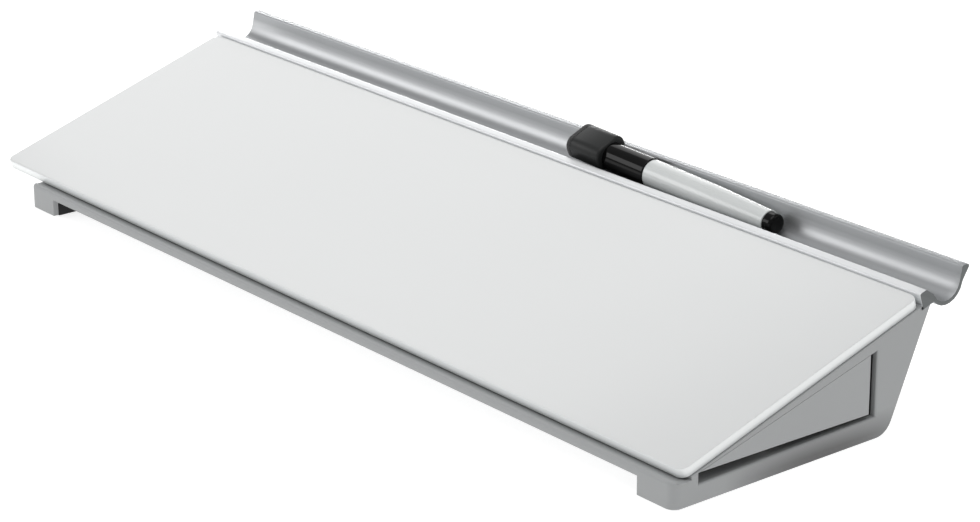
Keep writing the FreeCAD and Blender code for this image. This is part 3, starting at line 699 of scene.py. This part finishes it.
def trough_wall(side, radius, height):
    """Y of a trough wall's face at a height: side -1 is the front wall and 1 the back wall."""
    lean = trough_front_lean if side < 0 else trough_back_lean
    reach = radius + math.sin(lean) * (height - trough_centre[1])
    return trough_centre[0] + side * reach / math.cos(lean)


def trough_apex(radius, front_lean):
    """Point where the tangents of the trough's round at its front and back walls meet."""
    spread = math.cos(front_lean) + math.cos(trough_back_lean)
    height = trough_centre[1] - radius * spread / math.sin(front_lean + trough_back_lean)
    return trough_wall(1, radius, height), height


def seat_height(y):
    """Height of the plane that the tray's web lies on, at y."""
    front = on_board(0, -web_seat_depth)
    return front[1] + (y - front[0]) * math.tan(board_tilt)


outer_radius = trough_radius + tray_wall
shoulder_z = trough_centre[1] - shoulder_drop
top_edge = trough_wall(1, trough_radius, trough_top) + tray_top_width
flare_z = trough_top - flare_drop
# The foot of the trough's outside, on the plane under the web, found by rounds that settle.
settling_rounds = 40
foot_y = trough_centre[0]
for step in range(settling_rounds):
    foot_drop = trough_centre[1] - seat_height(foot_y)
    foot_y = trough_centre[0] - math.sqrt(outer_radius ** 2 - foot_drop ** 2)
lip_start = board_depth + tray_gap
lip_back = on_board(lip_start + tray_lip_width, tray_lip_rise)[0]
highlight_band_level = trough_centre[1] - highlight_band_drop


def tray_section(web_along):
    """(y, z) outline of the tray whose web reaches in under the board to web_along."""
    return rounded([
        (*on_board(web_along, -web_seat_depth), web_round),
        (*on_board(web_along, -web_top_depth), web_round),
        (*on_board(lip_start, -web_top_depth), web_round),
        (*on_board(lip_start, tray_lip_rise), tray_lip_front_round),
        (*on_board(lip_start + tray_lip_width, tray_lip_rise), tray_lip_round),
        (trough_wall(-1, trough_radius, shoulder_z), shoulder_z, shoulder_round),
        (*trough_apex(trough_radius, trough_front_lean), trough_radius),
        (trough_wall(1, trough_radius, trough_top), trough_top, tray_top_round),
        (top_edge, trough_top, tray_top_round),
        (trough_wall(1, outer_radius, flare_z), flare_z, flare_round),
        (*trough_apex(outer_radius, math.asin(foot_drop / outer_radius)), outer_radius),
        (foot_y, seat_height(foot_y), 0)])


def carried(section, x, inset):
    """A section drawn in by inset and stood at x, as one ring of points."""
    loop = drawn_in(section, inset)
    return np.column_stack([np.full(len(loop), x), loop])


short_web = tray_section(lip_start - 4 * web_round)
long_web = tray_section(board_depth - web_reach)
turn = np.linspace(0, math.pi / 2, cut_steps + 1)
cut_insets = list(zip(cut_edge * (1 - np.cos(turn)), cut_edge * (1 - np.sin(turn))))
web_left = -board_length / 2 + base_overhang + web_stop_inset
web_right = tray_high.x - web_stop_inset
rings = [carried(short_web, tray_low.x + step, inset) for step, inset in cut_insets]
rings += [carried(short_web, web_left, 0), carried(long_web, web_left, 0),
          carried(long_web, web_right, 0), carried(short_web, web_right, 0)]
rings += [carried(short_web, tray_high.x - step, inset) for step, inset in cut_insets[::-1]]
fit(skin("aluminium_tray", np.array(rings)), "base", "tray_aluminium", tray_finish(), "pen_tray")


# Marker barrel and end plug
# A slim dry-wipe marker: a light grey moulded barrel that narrows to its tail, where a glossy
# black plug is pressed in. It lies in the trough with its tail a little lower than its cap.

barrel_length = 0.069
barrel_radius = 0.006
barrel_waist_radius = 0.0059
barrel_tail_radius = 0.0049
barrel_waist_share = 0.52
barrel_bore = 0.004
barrel_edge = 0.0003
plug_radius = 0.0044
plug_length = 0.0045
plug_spigot = 0.011
plug_round = 0.0012
spigot_fit = 0.00005
marker_roll = math.radians(24)
cap_pull = next(joint for joint in frame["joints"] if joint["name"] == "cap_pull")
marker_slope = math.atan2(cap_pull["axis"][2], -cap_pull["axis"][0])
barrel_low, barrel_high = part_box("marker_barrel")
marker_origin = np.array([barrel_low.x + barrel_radius * math.sin(marker_slope),
                          (barrel_low.y + barrel_high.y) / 2,
                          barrel_high.z - barrel_radius * math.cos(marker_slope)])
marker_turn = Matrix.Rotation(marker_slope, 3, "Y") @ Matrix.Rotation(marker_roll, 3, "X")
marker_axes = np.array(marker_turn).T


def turned(profile, around=96):
    """Rings of a surface turned about X: each (x, r) point becomes x, r cos a, r sin a."""
    angle = np.linspace(0, 2 * math.pi, around, endpoint=False)
    x, radius = profile[:, :1], profile[:, 1:]
    return np.stack([x + 0 * angle, radius * np.cos(angle), radius * np.sin(angle)], axis=-1)


def in_tray(rings):
    """Rings laid along the marker's axis in the trough."""
    return moved(rings, marker_axes, marker_origin)


def gloss_black():
    """Polished black plastic with a faint unevenness from the mould and light handling marks."""
    finish = Finish("gloss_black", {"Specular IOR Level": 0.15})
    marks = finish.noise(size=0.002, detail=4, stretch=(3, 1, 1))
    finish.feed(Base_Color=finish.blend(marks, (0.002, 0.002, 0.002), (0.005, 0.005, 0.005)),
                Roughness=0.05 + 0.06 * marks)
    return finish.material


def barrel_grey():
    """Light grey semi-gloss plastic, with very fine lines along the barrel."""
    finish = Finish("barrel_grey", {"Coat Weight": 0.5, "Coat Roughness": 0.04})
    lines = finish.noise(size=0.0004, detail=2, stretch=(30, 1, 1))
    finish.feed(Base_Color=finish.blend(lines, (0.59, 0.61, 0.605), (0.63, 0.65, 0.645)),
                Roughness=0.24 + 0.1 * lines)
    return finish.material


waist = barrel_length * barrel_waist_share
barrel_profile = rounded([
    (0, barrel_bore, barrel_edge), (0, barrel_radius, barrel_edge),
    (waist, barrel_waist_radius, barrel_length),
    (barrel_length, barrel_tail_radius, barrel_edge), (barrel_length, barrel_bore, barrel_edge)])
fit(skin("barrel", in_tray(turned(barrel_profile)), closed=True), "marker", "barrel_plastic",
    barrel_grey(), "marker_barrel")

black = gloss_black()
plug_end = barrel_length + plug_length
spigot = barrel_bore - spigot_fit
plug_start = barrel_length - plug_spigot
plug_profile = rounded([
    (plug_start, 0, 0), (plug_start, spigot, barrel_edge),
    (barrel_length, spigot, spigot_fit), (barrel_length, plug_radius, spigot_fit),
    (plug_end, plug_radius, plug_round), (plug_end, 0, 0)], closed=False)
fit(skin("end_plug", in_tray(turned(plug_profile))), "marker", "black_plastic", black,
    "marker_end_plug")


# Nib holder, nib and ink filler
# Inside the cap: a moulded holder with a seal band and a cone, a round felt nib held in it,
# and the wrapped fibre filler that feeds the nib, hidden in the barrel.

holder_spigot = 0.008
holder_band = 0.008
holder_band_radius = 0.00533
holder_neck = 0.012
holder_neck_radius = 0.0049
holder_cone = 0.010
holder_nose = 0.002
holder_nose_radius = 0.0028
nib_radius = 0.0018
nib_reach = 0.006
nib_tip_round = 0.0015
nib_tail = 0.0142
fine = 0.0002


def holder_plastic():
    """Pale grey moulded plastic, semi-gloss, with a slight mottle."""
    finish = Finish("holder_plastic", {"Coat Weight": 0.2, "Coat Roughness": 0.1})
    mottle = finish.noise(size=0.002, detail=3)
    finish.feed(Base_Color=finish.blend(mottle, (0.46, 0.47, 0.48), (0.52, 0.53, 0.54)),
                Roughness=0.3 + 0.1 * mottle)
    return finish.material


def inked_fibre(name, dark, light):
    """Pressed fibres that run along the marker, darker where the ink sits."""
    finish = Finish(name, {"Specular IOR Level": 0.2})
    fibres = finish.noise(size=0.00012, detail=3, stretch=(12, 1, 1))
    finish.feed(Base_Color=finish.blend(fibres, dark, light), Roughness=0.85 - 0.15 * fibres,
                Normal=finish.bump(fibres, depth=0.00004))
    return finish.material


nose_start = -holder_neck - holder_cone
nose_end = nose_start - holder_nose
nib_bore = nib_radius + spigot_fit
holder_profile = rounded([
    (holder_spigot, nib_bore, fine), (holder_spigot, spigot, fine),
    (0, spigot, spigot_fit), (0, holder_band_radius, fine),
    (-holder_band, holder_band_radius, fine), (-holder_band, holder_neck_radius, fine),
    (-holder_neck, holder_neck_radius, fine), (nose_start, holder_nose_radius, fine),
    (nose_end, holder_nose_radius, fine), (nose_end, nib_bore, fine)])
fit(skin("nib_holder", in_tray(turned(holder_profile)), closed=True), "marker",
    "nib_holder_plastic", holder_plastic(), "marker_nib_holder")
nib_tip = nose_end - nib_reach
nib_profile = rounded([(nib_tip, 0, 0), (nib_tip, nib_radius, nib_tip_round),
                       (nib_tail, nib_radius, fine), (nib_tail, 0, 0)], closed=False)
fit(skin("felt_nib", in_tray(turned(nib_profile, around=48))), "marker", "nib_fibre",
    inked_fibre("nib_fibre", (0.004, 0.004, 0.006), (0.03, 0.03, 0.04)), "marker_nib")
dress("marker_filler", inked_fibre("filler_fibre", (0.08, 0.08, 0.10), (0.3, 0.3, 0.32)))


# Cap and its liner
# A glossy black moulded cap, a push fit on the holder's seal band, with a soft natural liner
# cup at its blind end that keeps the nib from drying.

cap_length = 0.037
cap_rim_radius = 0.0065
cap_end_radius = 0.0062
cap_bore = 0.0054
cap_end_wall = 0.0015


def soft_natural():
    """Milky soft plastic with a slight cloud."""
    finish = Finish("soft_natural", {"Subsurface Weight": 0.15, "Subsurface Scale": 0.001})
    cloud = finish.noise(size=0.002, detail=2)
    finish.feed(Base_Color=finish.blend(cloud, (0.66, 0.66, 0.64), (0.72, 0.72, 0.70)),
                Roughness=0.45 + 0.1 * cloud)
    return finish.material


cap_floor = -cap_length + cap_end_wall
cap_profile = rounded([
    (cap_floor, 0, 0), (cap_floor, cap_bore, fine),
    (0, cap_bore, fine), (0, cap_rim_radius, barrel_edge),
    (-cap_length, cap_end_radius, barrel_edge), (-cap_length, 0, 0)], closed=False)
fit(skin("cap", in_tray(turned(cap_profile))), "cap", "black_plastic", black, "marker_cap")
dress("cap_liner", soft_natural())


# Eraser head, felt and magnet
# A squarish moulded head with round corners is pushed over the cap's end. A felt pad for
# wiping the board is glued to its end face, over a small magnet that holds on the steel.

block_length = 0.0175
block_overlap = 0.0125
block_width = 0.0162
block_height = 0.0109
block_lift = 0.00195
block_round = 0.0045
block_edge = 0.001
block_felt_edge = 0.0003
felt_thickness = 0.0025
felt_edge = 0.0006
magnet_radius = 0.004
magnet_depth = 0.0024
head_stop = -cap_length + block_overlap
head_start = head_stop - block_length
head_steps = 12


def satin_black():
    """Dark grey-black plastic with a fine texture and a soft sheen."""
    finish = Finish("satin_black", {"Specular IOR Level": 0.18})
    grain = finish.noise(size=0.0003, detail=2)
    finish.feed(Base_Color=finish.blend(grain, (0.016, 0.017, 0.017), (0.023, 0.024, 0.024)),
                Roughness=0.34 + 0.1 * grain, Normal=finish.bump(grain, depth=0.00001))
    return finish.material


def black_felt():
    """Pressed felt: tangled short fibres that catch light at their tops."""
    finish = Finish("black_felt", {"Specular IOR Level": 0.15, "Sheen Weight": 0.4})
    fibres = finish.noise(size=0.0004, detail=5)
    finish.feed(Base_Color=finish.blend(fibres, (0.006, 0.006, 0.006), (0.035, 0.035, 0.036)),
                Roughness=0.95 - 0.1 * fibres, Normal=finish.bump(fibres, depth=0.0003))
    return finish.material


def nickel():
    """Bright nickel plate with faint blotches."""
    finish = Finish("nickel", {"Metallic": 1})
    blotch = finish.noise(size=0.001, detail=2)
    finish.feed(Base_Color=finish.blend(blotch, (0.60, 0.60, 0.58), (0.70, 0.70, 0.68)),
                Roughness=0.15 + 0.1 * blotch)
    return finish.material


def head_rings(insets, places):
    """Rings of the head's rounded outline, drawn in by insets and stood across X at places."""
    flat = rounded_slab(block_width / 2, block_height / 2, block_round, insets, places, head_steps)
    return np.stack([flat[..., 2], flat[..., 0], flat[..., 1] + block_lift], axis=-1)


def round_rings(radii, places, lift):
    """Rings of circles across X with the head outline's number of points and their bearings."""
    outline = head_rings([0], [0])[0]
    bearing = np.arctan2(outline[:, 2] - lift, outline[:, 1])
    radii, places = np.array(radii)[:, None], np.array(places)[:, None]
    return np.stack([places + 0 * bearing, radii * np.cos(bearing),
                     radii * np.sin(bearing) + lift], axis=-1)


socket_floor = cap_end_radius + spigot_fit
socket_mouth = socket_floor + (cap_rim_radius - cap_end_radius) * block_overlap / cap_length
magnet_seat = [magnet_radius + spigot_fit] * 2
insets, places = edge_path(block_length, block_edge, block_felt_edge)
block_rings = np.concatenate([
    round_rings([socket_floor, socket_mouth], [-cap_length, head_stop], lift=0),
    head_rings(insets, places + head_stop),
    round_rings(magnet_seat, [head_start, head_start + magnet_depth], lift=block_lift)])
fit(skin("eraser_head", in_tray(block_rings)), "cap", "black_plastic", satin_black(),
    "eraser_block")
insets, places = edge_path(felt_thickness, spigot_fit, felt_edge)
fit(skin("wiping_felt", in_tray(head_rings(insets, places + head_start))), "cap", "felt",
    black_felt(), "eraser_felt")
dress("cap_magnet", nickel())


# Floor, light and camera
# A plain pale floor under the easel, soft studio light from large panels and from a narrow
# strip behind that draws the cap's highlight, and the camera at the photograph's viewing angle.

floor_reach = 12.0
floor_gap = 0.0001
camera_place = Vector((0.97449, -0.76711, 0.47022))
camera_yaw = 0.88561
camera_pitch = 0.35358
camera_roll = -0.00408
focal_length_pixels = 3148.44
picture_width_pixels = 980
sensor_width = 36.0
room_light = 0.4


def pale_floor():
    """Matt white light table with a hardly visible cloud, lit from within so that shadows fade."""
    finish = Finish("pale_floor", {"Specular IOR Level": 0.0, "Emission Strength": 0.8})
    cloud = finish.noise(size=0.4, detail=2)
    finish.feed(Base_Color=finish.blend(cloud, (0.48, 0.48, 0.48), (0.5, 0.5, 0.5)),
                Emission_Color=finish.blend(cloud, (0.98, 0.98, 0.98), (1, 1, 1)),
                Roughness=0.9 + 0.05 * cloud)
    return finish.material


def light_panel(name, place, aim, size, power):
    """A soft rectangular lamp at a place, turned to face a point."""
    lamp = bpy.data.lights.new(name, "AREA")
    lamp.shape = "RECTANGLE"
    lamp.size, lamp.size_y = size
    lamp.energy = power
    panel = in_scene(name, lamp)
    panel.location = place
    panel.rotation_euler = (Vector(aim) - Vector(place)).to_track_quat("-Z", "Y").to_euler()


corners = [(-floor_reach, -floor_reach), (floor_reach, -floor_reach),
           (floor_reach, floor_reach), (-floor_reach, floor_reach)]
floor_mesh = bpy.data.meshes.new("floor")
floor_mesh.from_pydata([(x, y, -floor_gap) for x, y in corners], [], [(0, 1, 2, 3)])
floor_mesh.materials.append(pale_floor())
floor = in_scene("floor", floor_mesh)

world = bpy.data.worlds.new("studio")
bpy.context.scene.world = world
world.use_nodes = True
background = world.node_tree.nodes["Background"]
background.inputs["Color"].default_value = (1, 1, 1, 1)
background.inputs["Strength"].default_value = room_light
light_panel("top_panel", place=(0.3, -0.2, 1.6), aim=(0, 0, 0), size=(1.4, 1.4), power=14)
light_panel("back_panel", place=(-1.3, 0.75, 0.9), aim=(0, 0, 0.05), size=(1.1, 1.0), power=4.8)
light_panel("low_back_panel", place=(-1.45, 1.32, 0.46), aim=(0, 0, 0.05), size=(1.6, 0.08), power=7)
light_panel("front_panel", place=(-1.5, -1.2, 0.75), aim=(0, 0, 0.03), size=(1.2, 0.8), power=9)
light_panel("side_panel", place=(0.75, 0.45, 0.3), aim=(0.22, 0, 0.03), size=(0.35, 0.35), power=0.32)
bpy.context.scene.view_settings.view_transform = "Standard"

forward = Vector((-math.sin(camera_yaw) * math.cos(camera_pitch),
                  math.cos(camera_yaw) * math.cos(camera_pitch),
                  -math.sin(camera_pitch)))
level_right = Vector((math.cos(camera_yaw), math.sin(camera_yaw), 0))
level_up = level_right.cross(forward)
right = math.cos(camera_roll) * level_right + math.sin(camera_roll) * level_up
up = math.cos(camera_roll) * level_up - math.sin(camera_roll) * level_right
camera_data = bpy.data.cameras.new("camera")
camera_data.sensor_width = sensor_width
camera_data.lens = focal_length_pixels * sensor_width / picture_width_pixels
camera_data.clip_start = 0.01
camera_data.clip_end = 100
camera = in_scene("camera", camera_data)
camera_axes = Matrix((right, up, -forward)).transposed().to_4x4()
camera.matrix_world = Matrix.Translation(camera_place) @ camera_axes
bpy.context.scene.camera = camera
